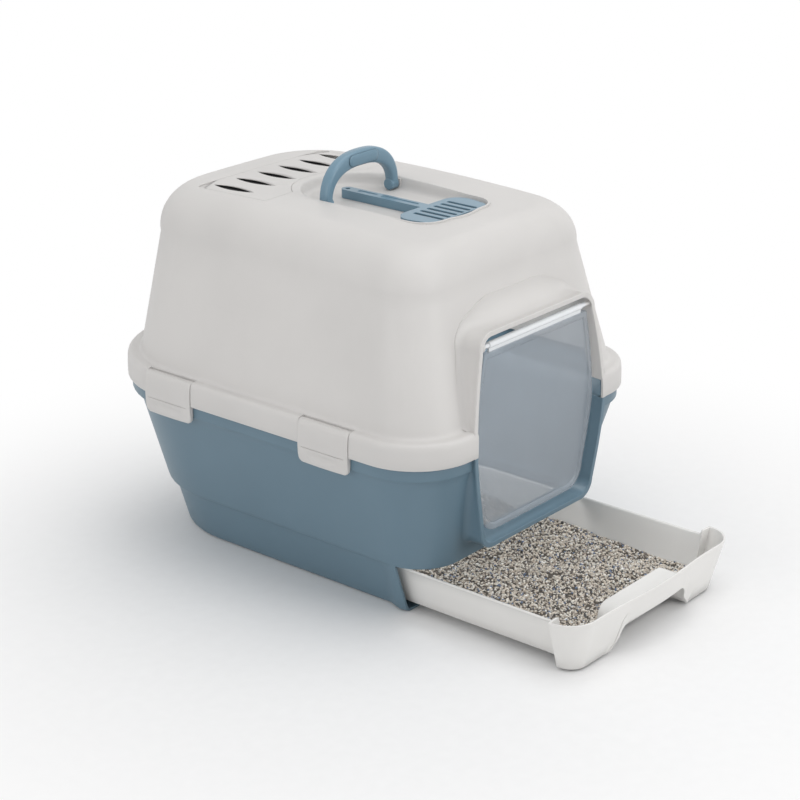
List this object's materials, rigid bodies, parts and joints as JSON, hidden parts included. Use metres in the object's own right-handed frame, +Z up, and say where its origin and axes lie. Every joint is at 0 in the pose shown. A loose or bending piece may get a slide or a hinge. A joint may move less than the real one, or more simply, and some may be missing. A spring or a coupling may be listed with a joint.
{
  "type": "drawer litter box",
  "caption": "Hooded litter box with a swinging flap, a pull-out litter drawer, a folding carry handle, side clips, a filter under vents and a scoop in the top.",
  "frame": {"origin": "middle of the base's footprint, on the floor", "axes": "+X to the right of someone facing the doorway from outside, -Y out of the doorway, +Z up"},
  "size_m": [0.4536, 0.7553, 0.517],
  "materials": {
    "base_plastic": "satin, fine grain",
    "shell_plastic": "fine-grained, nearly matt",
    "drawer_plastic": "glossy",
    "clear_plastic": "clear, slightly smoky",
    "blue_plastic": "soft gloss",
    "litter": "loose granules",
    "charcoal": "open felt"
  },
  "bodies": {
    "base": {"base": "base_plastic"},
    "drawer": {"drawer": "drawer_plastic", "litter_bed": "litter"},
    "hood": {"hood": "shell_plastic", "vent_cover": "shell_plastic", "carbon_filter": "charcoal"},
    "door_flap": {"door_flap": "clear_plastic"},
    "carry_handle": {"carry_handle": "blue_plastic"},
    "scoop": {"scoop": "blue_plastic"},
    "clip_left_front": {"clip_left_front": "shell_plastic"},
    "clip_left_rear": {"clip_left_rear": "shell_plastic"},
    "clip_right_front": {"clip_right_front": "shell_plastic"},
    "clip_right_rear": {"clip_right_rear": "shell_plastic"}
  },
  "joints": [
    {"name": "drawer_slide", "type": "slide", "parent": "base", "child": "drawer", "axis": [0, 1, 0], "range_m": [-0.1, 0.223]},
    {"name": "hood_lift", "type": "slide", "parent": "base", "child": "hood", "axis": [0, 0, 1], "range_m": [0, 0.2]},
    {"name": "door_hinge", "type": "hinge", "parent": "hood", "child": "door_flap", "pos_m": [0, -0.272, 0.346], "axis": [1, 0, 0], "range_deg": [-75, 75]},
    {"name": "handle_hinge", "type": "hinge", "parent": "hood", "child": "carry_handle", "pos_m": [0, 0.002, 0.459], "axis": [-1, 0, 0], "range_deg": [0, 90]},
    {"name": "scoop_lift", "type": "slide", "parent": "hood", "child": "scoop", "axis": [0, 0, 1], "range_m": [0, 0.025]},
    {"name": "clip_left_front_hinge", "type": "hinge", "parent": "hood", "child": "clip_left_front", "pos_m": [-0.216, -0.132, 0.2467], "axis": [0, 1, 0], "range_deg": [0, 90]},
    {"name": "clip_left_rear_hinge", "type": "hinge", "parent": "hood", "child": "clip_left_rear", "pos_m": [-0.216, 0.125, 0.2467], "axis": [0, 1, 0], "range_deg": [0, 90]},
    {"name": "clip_right_front_hinge", "type": "hinge", "parent": "hood", "child": "clip_right_front", "pos_m": [0.216, -0.132, 0.2467], "axis": [0, -1, 0], "range_deg": [0, 90]},
    {"name": "clip_right_rear_hinge", "type": "hinge", "parent": "hood", "child": "clip_right_rear", "pos_m": [0.216, 0.125, 0.2467], "axis": [0, -1, 0], "range_deg": [0, 90]}
  ]
}
